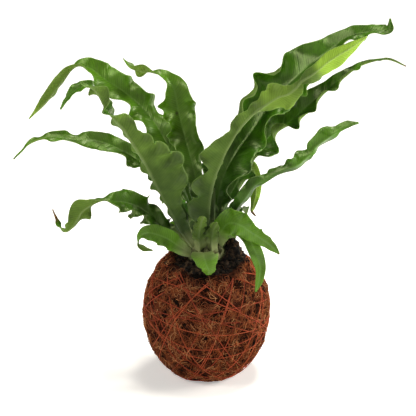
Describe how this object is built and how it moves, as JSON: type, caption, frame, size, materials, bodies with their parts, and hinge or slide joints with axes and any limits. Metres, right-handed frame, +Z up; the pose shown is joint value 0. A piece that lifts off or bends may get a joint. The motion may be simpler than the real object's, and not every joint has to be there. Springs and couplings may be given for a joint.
{
  "type": "kokedama houseplant",
  "caption": "Crested bird's-nest fern growing from a peat ball wrapped in coir and wound with rust-coloured thread.",
  "frame": {"origin": "middle of the flat spot that the ball rests on", "axes": "+Z up, the fan of fronds spreads along X, -Y is the front"},
  "size_m": [0.3821, 0.2099, 0.3511],
  "materials": {
    "coir": "matted coconut fibre, matte",
    "peat": "crumbly damp peat, matte",
    "thread": "twisted rust-coloured thread, satin",
    "rootstock": "scaly brown rootstock, matte",
    "frond": "glossy living leaf with a paler matte underside",
    "young_frond": "satin young leaf, yellow-green"
  },
  "bodies": {
    "root": {"coir_wrap": "coir", "peat_ball": "peat", "winding_thread": "thread", "crown": "rootstock", "frond_arch_left": "frond", "frond_broad_left": "frond", "frond_low_far_left": "frond", "frond_front_left": "frond", "frond_short_left": "young_frond", "frond_upright": "frond", "frond_broad_right": "frond", "frond_long_right": "frond", "frond_far_right": "frond", "frond_slim_right": "frond", "frond_drooping_back_right": "young_frond", "frond_low_right": "young_frond", "frond_hanging_right": "young_frond", "frond_front_short": "young_frond", "frond_front_stub": "young_frond", "frond_front_bud": "young_frond", "frond_inner_narrow": "frond", "frond_back": "frond", "frond_back_left": "frond", "frond_back_right": "frond", "frond_low_back_left": "young_frond", "frond_low_back_right": "young_frond"}
  },
  "joints": []
}
